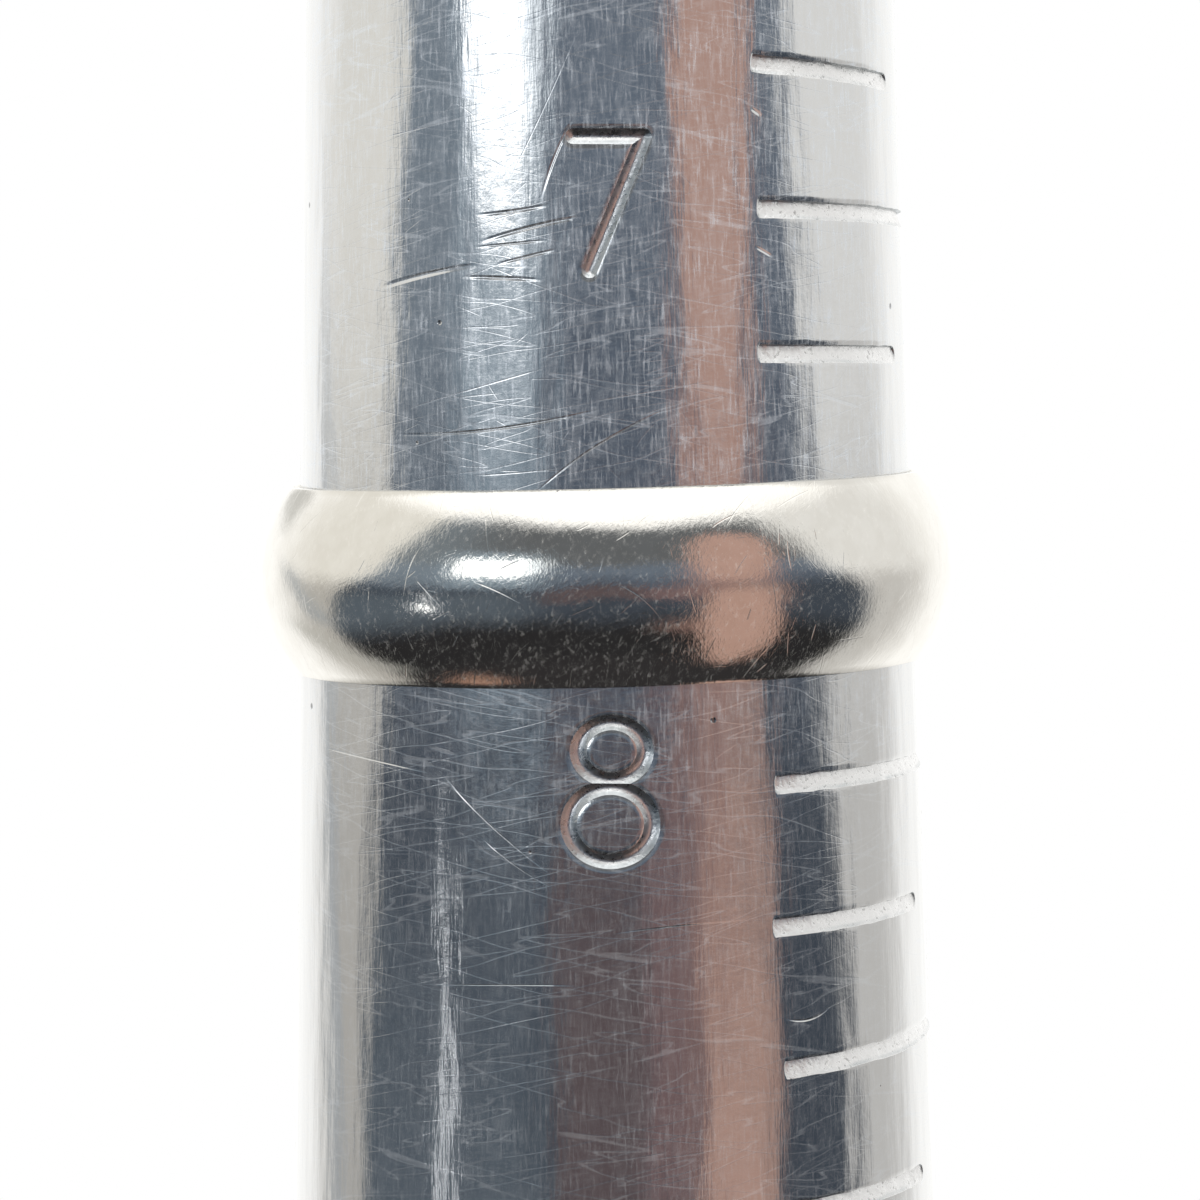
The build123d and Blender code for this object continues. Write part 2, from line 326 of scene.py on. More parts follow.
    # warm card on the right: its lower part dim, its middle and a rounded tail bright
    room = card((0.085, 0.066, 0.07), -20, 14, -12, -3, 5, 2, room)
    room = card((0.145, 0.098, 0.10), 13, 30, -12, -2, 6, 3, room)
    room = card((0.185, 0.12, 0.114), 27, 46, -12, -2, 6, 3, room)
    room = card((0.315, 0.197, 0.171), 28, 56, -2, 14, 6.5, 5, room)
    room = card((0.31, 0.205, 0.175), 46, 61, -15, -3, 5, 4, room)
    room = oval((0.38, 0.25, 0.212), 43, 17, 15.0, 17, room)
    room = card((0.17, 0.108, 0.095), 20, 40, -33, -27, 9, 4, room)
    room = oval((0.37, 0.24, 0.20), 48, -30, 14.5, 25, room, -0.22)
    room = card((0.29, 0.175, 0.13), -100, -66, -66, -58, 12, 4, room)
    # grey reflexes on the far left
    room = card((0.36, 0.36, 0.34), -160, -138, 10, 22, 6, 3, room, 0.75)
    room = slanting_band(-150.0, -140.0, -46.0, -13.0, 0.7, (0.36, 0.36, 0.34), room)
    # window on the left with its glow, and a small lamp
    room = card((0.25, 0.315, 0.37), -54, -22, -1, 22, 8, 4, room, 0.85)
    room = card((0.95, 1.02, 1.08), -32, -21, 6.8, 17.0, 4, 1.0, room)
    room = card((1.7, 1.75, 1.8), -50, -28, 5.4, 17.5, 3.5, 0.7, room)
    room = card((1.4, 1.45, 1.5), -62.2, -60.8, -9.6, -5.6, 1.0, 1.0, room)
    room = card((1.7, 1.75, 1.8), -65.5, -60, -15.5, -11.8, 1.2, 1.0, room)

    rays = add(tree, "ShaderNodeLightPath").outputs
    glossy = add(tree, "ShaderNodeBackground", {"Color": room, "Strength": FULL}).outputs[0]
    plain = add(tree, "ShaderNodeBackground", {"Color": (1, 1, 1, 1), "Strength": 0.85}).outputs[0]
    white = add(tree, "ShaderNodeBackground", {"Color": (1, 1, 1, 1), "Strength": 1.0}).outputs[0]
    lit = add(tree, "ShaderNodeMixShader", {0: rays["Is Glossy Ray"], 1: plain, 2: glossy}).outputs[0]
    seen = add(tree, "ShaderNodeMixShader", {0: rays["Is Camera Ray"], 1: lit, 2: white}).outputs[0]
    add(tree, "ShaderNodeOutputWorld", {"Surface": seen})


def build_floor_and_lights():
    """A pale round floor under the butt and two soft lamps for the wood and the floor."""
    bm = bmesh.new()
    bmesh.ops.create_circle(bm, cap_ends=True, radius=0.85, segments=96)
    mesh = bpy.data.meshes.new("floor")
    bm.to_mesh(mesh)
    bm.free()
    floor = bpy.data.objects.new("floor", mesh)
    bpy.context.scene.collection.objects.link(floor)
    paint = bpy.data.materials.new("floor paint")
    paint.use_nodes = True
    shader = paint.node_tree.nodes["Principled BSDF"]
    shader.inputs["Base Color"].default_value = (0.86, 0.86, 0.85, 1)
    shader.inputs["Roughness"].default_value = 0.7
    mesh.materials.append(paint)
    floor.visible_glossy = False
    for name, place, size, power in (
        ("key", (-0.55, -0.7, 0.85), 0.5, 9.0),
        ("fill", (0.8, -0.35, 0.5), 0.6, 3.5),
        ("back", (0.2, 0.9, 0.8), 0.6, 5.0),
    ):
        data = bpy.data.lights.new(name, "AREA")
        data.energy, data.size = power, size
        lamp = bpy.data.objects.new(name, data)
        bpy.context.scene.collection.objects.link(lamp)
        lamp.location = place
        lamp.rotation_euler = (Vector((0, 0, 0.15)) - Vector(place)).to_track_quat("-Z", "Y").to_euler()
        lamp.visible_glossy = False
        lamp.visible_camera = False


build_studio()
build_floor_and_lights()

# ---------------------------------------------------------------- surface effects shared by the materials


def unrolled_group():
    """Millimetres round the axis and along it, from object coordinates in metres."""
    tree, ends, out = new_group(
        "unrolled surface", {"Girth Radius": ("float", 9.0)}, {"Vector": "vector", "Solid": "vector"}
    )
    place = add(tree, "ShaderNodeTexCoord").outputs["Object"]
    solid = vectors(tree, "MULTIPLY", place, (1000, 1000, 1000))
    axes = add(tree, "ShaderNodeSeparateXYZ", {0: solid}).outputs
    turn = sums(tree, "ARCTAN2", axes["X"], sums(tree, "MULTIPLY", axes["Y"], -1.0))
    round_it = sums(tree, "MULTIPLY", turn, ends["Girth Radius"])
    flat = add(tree, "ShaderNodeCombineXYZ", {0: round_it, 1: axes["Z"], 2: 0.0}).outputs[0]
    tree.links.new(flat, out["Vector"])
    tree.links.new(solid, out["Solid"])
    return tree


def scratches_group():
    """Single scratches, one to a cell: each a straight or bowed line of its own direction and length."""
    tree, ends, out = new_group(
        "scratches",
        {
            "Vector": ("vector", None),
            "Cell Size": ("float", 2.0),
            "Width": ("float", 0.02),
            "Tilt": ("float", 0.0),
            "Tilt Spread": ("float", 0.5),
            "Length": ("float", 0.45),
            "Bow": ("float", 0.1),
            "Amount": ("float", 0.6),
            "Shift": ("float", 0.0),
        },
        {"Mask": "float"},
    )
    moved = vectors(tree, "ADD", ends["Vector"], ends["Shift"])
    scaled = scaled_by(tree, moved, sums(tree, "DIVIDE", 1.0, ends["Cell Size"]))
    cells = flat_cells(tree, scaled)
    offset = vectors(tree, "SUBTRACT", scaled, cells["Position"])
    chance = add(tree, "ShaderNodeSeparateColor", {0: cells["Color"]}).outputs
    swing = sums(tree, "MULTIPLY", sums(tree, "SUBTRACT", chance["Red"], 0.5), ends["Tilt Spread"])
    angle = sums(tree, "ADD", ends["Tilt"], swing)
    turned = turned_back(tree, offset, angle)
    forward, aside = part_along(tree, turned, (1, 0, 0)), part_along(tree, turned, (0, 1, 0))
    bend = sums(tree, "MULTIPLY", sums(tree, "SUBTRACT", chance["Blue"], 0.5), ends["Bow"])
    bow = sums(tree, "MULTIPLY", sums(tree, "MULTIPLY", forward, forward), bend)
    across = sums(tree, "ABSOLUTE", sums(tree, "ADD", aside, bow))
    wide = sums(tree, "DIVIDE", ends["Width"], ends["Cell Size"])
    line = ease(tree, across, 0.0, wide, 1.0, 0.0)
    reach = sums(tree, "MULTIPLY", ends["Length"], ease(tree, chance["Blue"], 0.0, 1.0, 0.4, 1.0))
    start = sums(tree, "MULTIPLY", reach, 0.35)
    along = ease(tree, sums(tree, "ABSOLUTE", forward), start, reach, 1.0, 0.0)
    picked = sums(tree, "LESS_THAN", chance["Green"], ends["Amount"])
    mask = sums(tree, "MULTIPLY", sums(tree, "MULTIPLY", line, along), picked)
    tree.links.new(mask, out["Mask"])
    return tree


def hairlines_group():
    """The fine lines left by a polishing wheel, drawn out along one direction by the stretch."""
    tree, ends, out = new_group(
        "hairlines",
        {"Vector": ("vector", None), "Stretch": ("vector", (20, 20, 0.2)), "Detail": ("float", 3.0)},
        {"Height": "float"},
    )
    pulled = vectors(tree, "MULTIPLY", ends["Vector"], ends["Stretch"])
    tree.links.new(grain_noise(tree, pulled, ends["Detail"], 0.6), out["Height"])
    return tree


def brushed_group():
    """Noise drawn out along any direction of the unrolled surface, and the thin lines on its contours."""
    tree, ends, out = new_group(
        "brushed lines",
        {
            "Vector": ("vector", None),
            "Angle": ("float", 0.0),
            "Along": ("float", 0.2),
            "Across": ("float", 5.0),
            "Line Width": ("float", 0.02),
            "Shift": ("float", 0.0),
        },
        {"Height": "float", "Line": "float"},
    )
    turned = turned_back(tree, ends["Vector"], ends["Angle"])
    stretch = add(tree, "ShaderNodeCombineXYZ", {0: ends["Along"], 1: ends["Across"], 2: 1.0}).outputs[0]
    pulled = vectors(tree, "MULTIPLY", turned, stretch)
    grain = grain_noise(tree, vectors(tree, "ADD", pulled, ends["Shift"]), 2.0, 0.55)
    ridge = sums(tree, "ABSOLUTE", sums(tree, "SUBTRACT", grain, 0.5))
    tree.links.new(grain, out["Height"])
    tree.links.new(ease(tree, ridge, 0.0, ends["Line Width"], 1.0, 0.0), out["Line"])
    return tree


def pits_group():
    """Small round dents, one to a cell where chance allows."""
    tree, ends, out = new_group(
        "pits",
        {
            "Vector": ("vector", None),
            "Cell Size": ("float", 4.0),
            "Radius": ("float", 0.12),
            "Amount": ("float", 0.3),
        },
        {"Mask": "float"},
    )
    cells = flat_cells(tree, scaled_by(tree, ends["Vector"], sums(tree, "DIVIDE", 1.0, ends["Cell Size"])))
    chance = add(tree, "ShaderNodeSeparateColor", {0: cells["Color"]}).outputs
    size = sums(tree, "DIVIDE", sums(tree, "MULTIPLY", ends["Radius"], chance["Red"]), ends["Cell Size"])
    dent = ease(tree, cells["Distance"], sums(tree, "MULTIPLY", size, 0.3), size, 1.0, 0.0)
    picked = sums(tree, "LESS_THAN", chance["Green"], ends["Amount"])
    tree.links.new(sums(tree, "MULTIPLY", dent, picked), out["Mask"])
    return tree


FULL_DEPTH_WIDTH = 0.08  # a scratch this wide is cut to the full depth


def placed_group():
    """One scratch placed on the unrolled surface, in millimetres; a wide one is also deep."""
    tree, ends, out = new_group(
        "placed scratch",
        {
            "Vector": ("vector", None),
            "Middle": ("vector", (0, 0, 0)),
            "Forward": ("vector", (1, 0, 0)),
            "Aside": ("vector", (0, 1, 0)),
            "Half Length": ("float", 1.0),
            "Width": ("float", 0.05),
            "Bow": ("float", 0.0),
        },
        {"Mask": "float"},
    )
    offset = vectors(tree, "SUBTRACT", ends["Vector"], ends["Middle"])
    forward, aside = part_along(tree, offset, ends["Forward"]), part_along(tree, offset, ends["Aside"])
    bow = sums(tree, "MULTIPLY", sums(tree, "MULTIPLY", forward, forward), ends["Bow"])
    across = sums(tree, "ABSOLUTE", sums(tree, "ADD", aside, bow))
    away = sums(tree, "DIVIDE", sums(tree, "ABSOLUTE", forward), ends["Half Length"])
    along = ease(tree, away, 0.1, 1.0, 1.0, 0.0)
    line = ease(tree, across, 0.0, ends["Width"], 1.0, 0.0)
    depth = sums(tree, "DIVIDE", ends["Width"], FULL_DEPTH_WIDTH)
    tree.links.new(sums(tree, "MULTIPLY", sums(tree, "MULTIPLY", line, along), depth), out["Mask"])
    return tree


UNROLLED, SCRATCHES, HAIRLINES = unrolled_group(), scratches_group(), hairlines_group()
BRUSHED, PITS, PLACED = brushed_group(), pits_group(), placed_group()


def most(tree, masks):
    """The strongest of several masks; a generator makes each mask's nodes just before they are used."""
    result = None
    for mask in masks:
        result = mask if result is None else sums(tree, "MAXIMUM", result, mask)
    return result


def weighed(tree, parts, start=0.0):
    """A sum of values, each with its own weight."""
    result = start
    for value, weight in parts:
        result = sums(tree, "MULTIPLY_ADD", value, weight, result)
    return result


def scratch_layer(tree, flat, cell, width, tilt, spread, length, bow, amount, shift):
    """One layer of scratches: cell and width in millimetres, directions in degrees."""
    return use(
        tree, SCRATCHES, Vector=flat, Cell_Size=cell, Width=width, Tilt=radians(tilt),
        Tilt_Spread=radians(spread), Length=length, Bow=bow, Amount=amount, Shift=shift,
    )["Mask"]


def brushed_layer(tree, flat, angle, along, across, width, shift):
    """One layer of brushing along an angle in degrees."""
    return use(
        tree, BRUSHED, Vector=flat, Angle=radians(angle), Along=along, Across=across,
        Line_Width=width, Shift=shift,
    )


def hairlines(tree, vector, stretch, detail):
    """The height of noise drawn out by a stretch."""
    return use(tree, HAIRLINES, Vector=vector, Stretch=stretch, Detail=detail)["Height"]


HAZE = 0.28  # how far full wear turns a metal's mirror into scattered light


def new_material(name):
    """An empty material with its Principled shader."""
    material = bpy.data.materials.new(name)
    material.use_nodes = True
    return material, material.node_tree, material.node_tree.nodes["Principled BSDF"]


def bumped(tree, shader, height, distance_mm):
    """Feeds a height through a Bump node to the shader's normal."""
    bump = add(tree, "ShaderNodeBump", {"Height": height, "Distance": distance_mm * MM})
    tree.links.new(bump.outputs["Normal"], shader.inputs["Normal"])


# the boldest scratches near the band: side and height from the line of size 7, direction, length, width, bow
BOLD_SCRATCHES = [
    (-5.20, -1.63, 9, 3.6, 0.10, 0.015),
    (-2.05, -0.45, 12, 3.3, 0.08, 0.02),
    (-2.55, 0.00, 6, 2.3, 0.07, -0.03),
    (-2.60, -0.87, 4, 2.2, 0.05, 0.0),
    (-2.15, -1.23, 12, 1.9, 0.06, 0.0),
    (-2.90, -1.78, -3, 2.6, 0.07, 0.01),
    (-1.30, 1.45, 66, 2.6, 0.06, 0.06),
    (-3.15, -5.85, 6, 6.6, 0.055, -0.02),
    (-0.20, -6.30, 31, 4.6, 0.040, 0.04),
    (4.60, 2.62, -28, 0.45, 0.08, 0.0),
    (4.75, -1.15, -25, 0.7, 0.06, 0.0),
    (-7.40, -14.95, -5, 5.0, 0.035, 0.012),
    (-3.25, -16.60, -40, 4.6, 0.022, -0.02),
    (-2.65, -17.60, -34, 2.6, 0.018, -0.05),
    (1.90, -19.30, 3, 4.2, 0.025, 0.02),
    (5.60, -22.15, 6, 1.9, 0.045, -0.32),
    (-3.10, -20.90, 2, 5.0, 0.022, 0.01),
]


def polished_steel(name="polished steel"):
    """Hand-polished steel: brushing, cross scratches, small dents, slight waviness and a haze of wear."""
    material, tree, shader = new_material(name)
    surface = use(tree, UNROLLED, Girth_Radius=9.0)
    flat, solid = surface["Vector"], surface["Solid"]

    # lengthwise polish: fine, coarse and broad streaks
    fine = brushed_layer(tree, flat, 90, 1.5, 13, 0.035, 0.0)
    coarse = brushed_layer(tree, flat, 90, 0.5, 4.6, 0.022, 5.0)
    broad = brushed_layer(tree, flat, 90, 0.12, 1.0, 0.02, 9.0)
    # hairlines across
    level = brushed_layer(tree, flat, 2, 2.6, 12, 0.02, 13.0)
    rising = brushed_layer(tree, flat, 12, 0.10, 1.1, 0.008, 21.0)
    falling = brushed_layer(tree, flat, -9, 0.09, 0.9, 0.008, 34.0)
    across = most(tree, (rising["Line"], falling["Line"]))
    wear = ease(tree, part_along(tree, flat, (0, 1, 0)), height_of(8.3), height_of(7.4))
    long_cross = most(tree, (
        sums(tree, "MULTIPLY", scratch_layer(tree, flat, *layer), strength) for *layer, strength in [
            (6.5, 0.026, 4, 26, 0.62, 0.25, 0.6, 3.1, 1.0),
            (5.0, 0.024, -6, 30, 0.60, 0.35, 0.6, 11.7, 0.7),
            (7.5, 0.026, 20, 90, 0.60, 0.6, 0.5, 23.9, 0.7),
            (2.6, 0.020, 2, 34, 0.60, 0.3, 0.6, 31.3, 0.5),
            (1.1, 0.017, 0, 120, 0.55, 0.4, 0.45, 57.1, 0.5),
        ]
    ))
    long_cross = sums(tree, "MULTIPLY", long_cross, weighed(tree, [(wear, 0.6)], 0.4))
    level_seven = height_of(7)

    def placed(side, above, angle, length, width, bow):
        run, rise = cos(radians(angle)), sin(radians(angle))
        return use(
            tree, PLACED, Vector=flat, Middle=(side, level_seven + above, 0), Forward=(run, rise, 0),
            Aside=(-rise, run, 0), Half_Length=length / 2, Width=width, Bow=bow,
        )["Mask"]

    bold = most(tree, (placed(*scratch_by_hand) for scratch_by_hand in BOLD_SCRATCHES))
    dents = use(tree, PITS, Vector=flat, Cell_Size=3.6, Radius=0.12, Amount=0.2)["Mask"]
    wavy = hairlines(tree, solid, (0.50, 0.50, 0.13), 2.0)
    cloud = hairlines(tree, solid, (0.6, 0.6, 0.45), 3.0)
    speck = hairlines(tree, flat, (2.4, 2.0, 1.0), 5.0)
    blotch = hairlines(tree, flat, (0.7, 0.45, 1.0), 3.0)

    height = weighed(tree, [
        (bold, -3.6), (long_cross, -0.25), (across, -0.10), (dents, -3.0),
        (fine["Height"], 0.35), (level["Height"], 0.07), (coarse["Height"], 0.8), (broad["Height"], 1.8),
        (speck, 0.9), (wavy, 12.0),
    ])
    bumped(tree, shader, height, 0.006)
    lines = most(tree, [
        sums(tree, "MULTIPLY", mask, share)
        for mask, share in ((bold, 0.35), (long_cross, 0.62), (across, 0.42), (coarse["Line"], 0.2))
    ])
    lines = sums(tree, "MULTIPLY", lines, weighed(tree, [(wear, 0.4)], 0.6))
    # wear haze: streaks, specks and scratches scatter the light of the whole room
    weave = weighed(tree, [
        (ease(tree, fine["Height"], 0.48, 0.76), 0.66), (ease(tree, level["Height"], 0.50, 0.78), 0.30),
        (ease(tree, coarse["Height"], 0.46, 0.74), 0.20), (ease(tree, speck, 0.46, 0.76), 0.26),
    ])
    weave = sums(tree, "MULTIPLY", weave, weighed(tree, [(wear, 0.68)], 0.32))
    weave = sums(tree, "MULTIPLY", weave, ease(tree, blotch, 0.32, 0.66, 0.55, 1.25))
    haze = sums(tree, "ADD", weave, lines, clamp=True)
    rough = ease(tree, cloud, 0.3, 0.7, 0.085, 0.12)
    tree.links.new(weighed(tree, [(rough, 1.0), (haze, 0.08)]), shader.inputs["Roughness"])
    tree.links.new(weighed(tree, [(haze, -HAZE)], 1.0), shader.inputs["Metallic"])
    tint = mixed(tree, haze, (0.71, 0.705, 0.695), (0.66, 0.69, 0.725))
    tint = mixed(tree, dents, tint, (0.25, 0.25, 0.26))
    tree.links.new(tint, shader.inputs["Base Color"])
    return material


def cut_steel():
    """The bottoms and walls of the stamped and cut marks: bright, coarse and unpolished, with painted shade
    darkening the walls.
    """
    material, tree, shader = new_material("cut steel")
    surface = use(tree, UNROLLED, Girth_Radius=9.0)
    flat, solid = surface["Vector"], surface["Solid"]
    torn = hairlines(tree, solid, (7, 7, 7), 3.0)
    chatter = hairlines(tree, flat, (3.0, 1.2, 1), 2.0)
    bumped(tree, shader, weighed(tree, [(torn, 0.7), (chatter, 0.8)]), 0.02)
    tree.links.new(ease(tree, torn, 0.3, 0.7, 0.24, 0.40), shader.inputs["Roughness"])
    tint = mixed(tree, ease(tree, torn, 0.28, 0.44), (0.45, 0.445, 0.44), (0.86, 0.855, 0.85))
    # painted shade: walls that face away from the axis turn dark and bluish under the bright bottoms
    outward = vectors(tree, "MULTIPLY", solid, (1, 1, 0))
    outward = add(tree, "ShaderNodeVectorMath", {0: outward}, operation="NORMALIZE").outputs[0]
    facing = part_along(tree, add(tree, "ShaderNodeTexCoord").outputs["Normal"], outward)
    tint = mixed(tree, ease(tree, facing, 0.76, 0.94, 0.75, 0.0), tint, (0.36, 0.40, 0.415))
    tree.links.new(tint, shader.inputs["Base Color"])
    shader.inputs["Metallic"].default_value = 1.0
    return material


def worn_silver():
    """Silver with a soft polish under a dense web of fine scratches from wear."""
    material, tree, shader = new_material("worn silver")
    surface = use(tree, UNROLLED, Girth_Radius=10.0)
    flat, solid = surface["Vector"], surface["Solid"]

    web = [
        brushed_layer(tree, flat, angle, along, across, 0.05, shift) for angle, along, across, shift in (
            (62, 2.2, 11, 1.0), (25, 2.4, 9, 7.0), (130, 2.2, 10, 15.0), (92, 2.0, 12, 23.0),
        )
    ]
    worn = scratch_layer(tree, flat, 0.45, 0.016, 60, 150, 0.6, 0.5, 0.8, 1.3)
    few = most(tree, [
        scratch_layer(tree, flat, 1.0, 0.02, 65, 90, 0.55, 0.5, 0.6, 17.7),
        scratch_layer(tree, flat, 2.0, 0.02, 20, 170, 0.5, 0.8, 0.4, 27.3),
    ])
    wavy = hairlines(tree, solid, (0.35, 0.35, 0.5), 1.0)
    grain = hairlines(tree, solid, (5, 5, 5), 4.0)
    lumps = hairlines(tree, solid, (1.6, 1.6, 1.6), 2.0)
    fibres = weighed(tree, [(layer["Height"], 1.0) for layer in web])
    lines = most(tree, [layer["Line"] for layer in web])
    height = weighed(tree, [
        (fibres, 0.34), (lines, -0.06), (worn, -0.12), (few, -0.4), (grain, 0.35), (lumps, 0.5), (wavy, 7.0)
    ])
    bumped(tree, shader, height, 0.006)
    haze = weighed(tree, [
        (ease(tree, fibres, 2.05, 2.6), 0.85), (ease(tree, grain, 0.48, 0.76), 0.12),
        (worn, 0.10), (few, 0.35),
    ])
    haze = sums(tree, "ADD", haze, 0.0, clamp=True)
    tree.links.new(ease(tree, haze, 0.0, 1.0, 0.06, 0.13), shader.inputs["Roughness"])
    tree.links.new(weighed(tree, [(haze, -0.5 * HAZE)], 1.0), shader.inputs["Metallic"])
    tint = mixed(tree, ease(tree, lumps, 0.35, 0.65), (0.785, 0.76, 0.71), (0.82, 0.797, 0.75))
    tree.links.new(tint, shader.inputs["Base Color"])
    return material


def oiled_hardwood():
    """Turned hardwood: growth rings in long figure, short dark pores, lathe lines and an oiled sheen."""
    material, tree, shader = new_material("oiled hardwood")
    surface = use(tree, UNROLLED, Girth_Radius=14.0)
    flat, solid = surface["Vector"], surface["Solid"]
    slow = vectors(tree, "MULTIPLY", solid, (0.05, 0.05, 0.012))
    drift = add(tree, "ShaderNodeTexNoise", {"Vector": slow, "Scale": 1.0, "Detail": 2.0}).outputs[1]
    bent = vectors(tree, "MULTIPLY", vectors(tree, "SUBTRACT", drift, (0.5, 0.5, 0.5)), (16, 16, 4))
    warped = vectors(tree, "ADD", solid, bent)
    heart = vectors(tree, "MULTIPLY", vectors(tree, "ADD", warped, (31, 17, 0)), (1, 1, 0))
    span = add(tree, "ShaderNodeVectorMath", {0: heart}, operation="LENGTH").outputs["Value"]
    ring = sums(tree, "FRACT", sums(tree, "MULTIPLY", span, 0.36))
    late = sums(tree, "MULTIPLY", ease(tree, ring, 0.35, 0.9), ease(tree, ring, 0.93, 1.0, 1.0, 0.0))
    fibre = hairlines(tree, warped, (5.5, 5.5, 0.12), 4.0)
    pores = hairlines(tree, solid, (9, 9, 0.7), 2.0)
    pore = ease(tree, pores, 0.60, 0.68)
    patch = hairlines(tree, solid, (0.08, 0.08, 0.03), 2.0)
    lathe_lines = hairlines(tree, solid, (0.05, 0.05, 7.0), 2.0)
    colour = mixed(tree, ease(tree, fibre, 0.3, 0.7), (0.20, 0.082, 0.032), (0.37, 0.175, 0.075))
    colour = mixed(tree, sums(tree, "MULTIPLY", late, 0.75), colour, (0.13, 0.048, 0.02))
    colour = mixed(tree, ease(tree, patch, 0.35, 0.65, 0.0, 0.35), colour, (0.26, 0.10, 0.035))
    colour = mixed(tree, sums(tree, "MULTIPLY", pore, 0.6), colour, (0.06, 0.022, 0.012))
    tree.links.new(colour, shader.inputs["Base Color"])
    tree.links.new(ease(tree, fibre, 0.2, 0.8, 0.28, 0.42), shader.inputs["Roughness"])
    bumped(tree, shader, weighed(tree, [(pore, -1.0), (fibre, 0.5), (lathe_lines, 0.35)]), 0.05)
    shader.inputs["Coat Weight"].default_value = 0.35
    shader.inputs["Coat Roughness"].default_value = 0.18
    return material


def plain_metal(name, colour, rough, wear_colour, lines):
    """Small metal parts: turned lines or tumbled grain, with scratches and a little tarnish."""
    material, tree, shader = new_material(name)
    surface = use(tree, UNROLLED, Girth_Radius=12.0)
    flat, solid = surface["Vector"], surface["Solid"]
    drawn = hairlines(tree, solid, lines, 4.0)
    cloud = hairlines(tree, solid, (0.5, 0.5, 0.5), 4.0)
    nick = most(tree, [
        scratch_layer(tree, flat, 3.0, 0.04, degrees(0.4), degrees(3.0), 0.5, 0.5, 0.6, 2.7),
        scratch_layer(tree, flat, 1.2, 0.022, 0, degrees(1.2), 0.5, 0.3, 0.7, 14.3),
    ])
    tint = mixed(tree, ease(tree, cloud, 0.35, 0.7), colour, wear_colour)
    tint = mixed(tree, sums(tree, "MULTIPLY", nick, 0.5), tint, (0.9, 0.9, 0.88))
    tree.links.new(tint, shader.inputs["Base Color"])
    rougher = ease(tree, cloud, 0.3, 0.7, rough, rough + 0.12)
    tree.links.new(sums(tree, "ADD", rougher, sums(tree, "MULTIPLY", nick, 0.2)), shader.inputs["Roughness"])
    bumped(tree, shader, weighed(tree, [(drawn, 0.6), (nick, -0.8)]), 0.012)
    shader.inputs["Metallic"].default_value = 1.0
    return material


# ---------------------------------------------------------------- making pieces


def lathe(profile, segments):
    """A turned shape from (radius, height) points, closed round the axis."""
    bm = bmesh.new()
    points = [bm.verts.new((radius, 0, z)) for radius, z in profile]
    edges = [bm.edges.new(pair) for pair in zip(points, points[1:])]
    bmesh.ops.spin(
        bm, geom=points + edges, cent=(0, 0, 0), axis=(0, 0, 1), angle=tau, steps=segments, use_merge=True
    )
    bmesh.ops.remove_doubles(bm, verts=bm.verts, dist=1e-4)
    bmesh.ops.recalc_face_normals(bm, faces=bm.faces)
    return bm


def turn_points(centre, radius, start_deg, end_deg, steps):
    """Points along an arc of a profile."""
    angles = [radians(start_deg + (end_deg - start_deg) * step / steps) for step in range(steps + 1)]
    return [(centre[0] + radius * cos(angle), centre[1] + radius * sin(angle)) for angle in angles]


def to_object(bm, name, materials, scale=MM):
    """A mesh object at the origin from a bmesh in millimetres."""
    bmesh.ops.scale(bm, vec=(scale, scale, scale), verts=bm.verts)
    mesh = bpy.data.meshes.new(name)
    bm.to_mesh(mesh)
    bm.free()
    for material in materials:
        mesh.materials.append(material)
    piece = bpy.data.objects.new(name, mesh)
    bpy.context.scene.collection.objects.link(piece)
    return piece


def smooth_by_angle(mesh, degrees_limit):
    """Smooth shading with the edges sharper than the limit kept crisp."""
    mesh.shade_smooth()
    mesh.set_sharp_from_angle(angle=radians(degrees_limit))


def settle(piece, body, slot, *nodes):
    """Rides its body and stands for its CAD nodes; the slot is not used."""
    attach(piece, body)
    if nodes:
        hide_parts(*nodes)


# ---------------------------------------------------------------- marks, made flat and wrapped on the taper

STROKE, LOOP_STROKE = 0.46, 0.41
NUMERAL_HEIGHT = 4.05
NUMERAL_SPACING = 2.7
# how the numerals nearest the band were struck: sideways, upward, and larger than the others
STRUCK = {7: (0.14, 0.18, 1.0), 8: (0.0, 0.0, 1.045)}
MARK_DEPTH = 0.15
PROUD = 0.5
# half of a mark's cross-section, from the middle of its bottom out to its lip: (across, height)
STAMPED = [
    (0.0, -1.0), (0.16, -0.96), (0.60, -0.48), (0.92, -0.15), (1.12, -0.06), (1.4, -0.02), (1.7, 0.012),
]
CUT = [
    (0.0, -1.0), (0.45, -1.0), (0.78, -0.90), (0.92, -0.35), (1.0, -0.12), (1.2, -0.05), (1.45, -0.015),
    (1.75, 0.012),
]
LIP_HEIGHT = -0.2  # above this share of the depth, a mark's side is polished with the shaft


def mark_section(half_width, depth, shape):
    """Half section of a cutter, closed over the top."""
    half = [(across * half_width, height * depth) for across, height in shape]
    return half + [(half[-1][0], PROUD), (0.0, PROUD)]


def only(items, *kinds):
    """The items of some kinds."""
    return [item for item in items if isinstance(item, kinds)]


def sweep(bm, line, steps, **spin):
    """Spins an open line of edges and returns the line at the far end."""
    result = bmesh.ops.spin(bm, geom=line, steps=steps, axis=(0, 0, 1), use_merge=False, **spin)
    return only(result["geom_last"], bmesh.types.BMVert, bmesh.types.BMEdge)


def slide(bm, line, way, steps):
    """Draws an open line of edges straight along, in equal steps."""
    for _ in range(steps):
        grown = bmesh.ops.extrude_edge_only(bm, edges=only(line, bmesh.types.BMEdge))["geom"]
        line = only(grown, bmesh.types.BMVert, bmesh.types.BMEdge)
        bmesh.ops.translate(bm, vec=way / steps, verts=only(line, bmesh.types.BMVert))
    return line


def section_line(bm, section, place, direction):
    """The half section stood up at a place, facing a direction in the flat."""
    points = [bm.verts.new((place[0] + direction[0] * across, place[1] + direction[1] * across, height))
              for across, height in section]
    return points + [bm.edges.new(pair) for pair in zip(points, points[1:])]


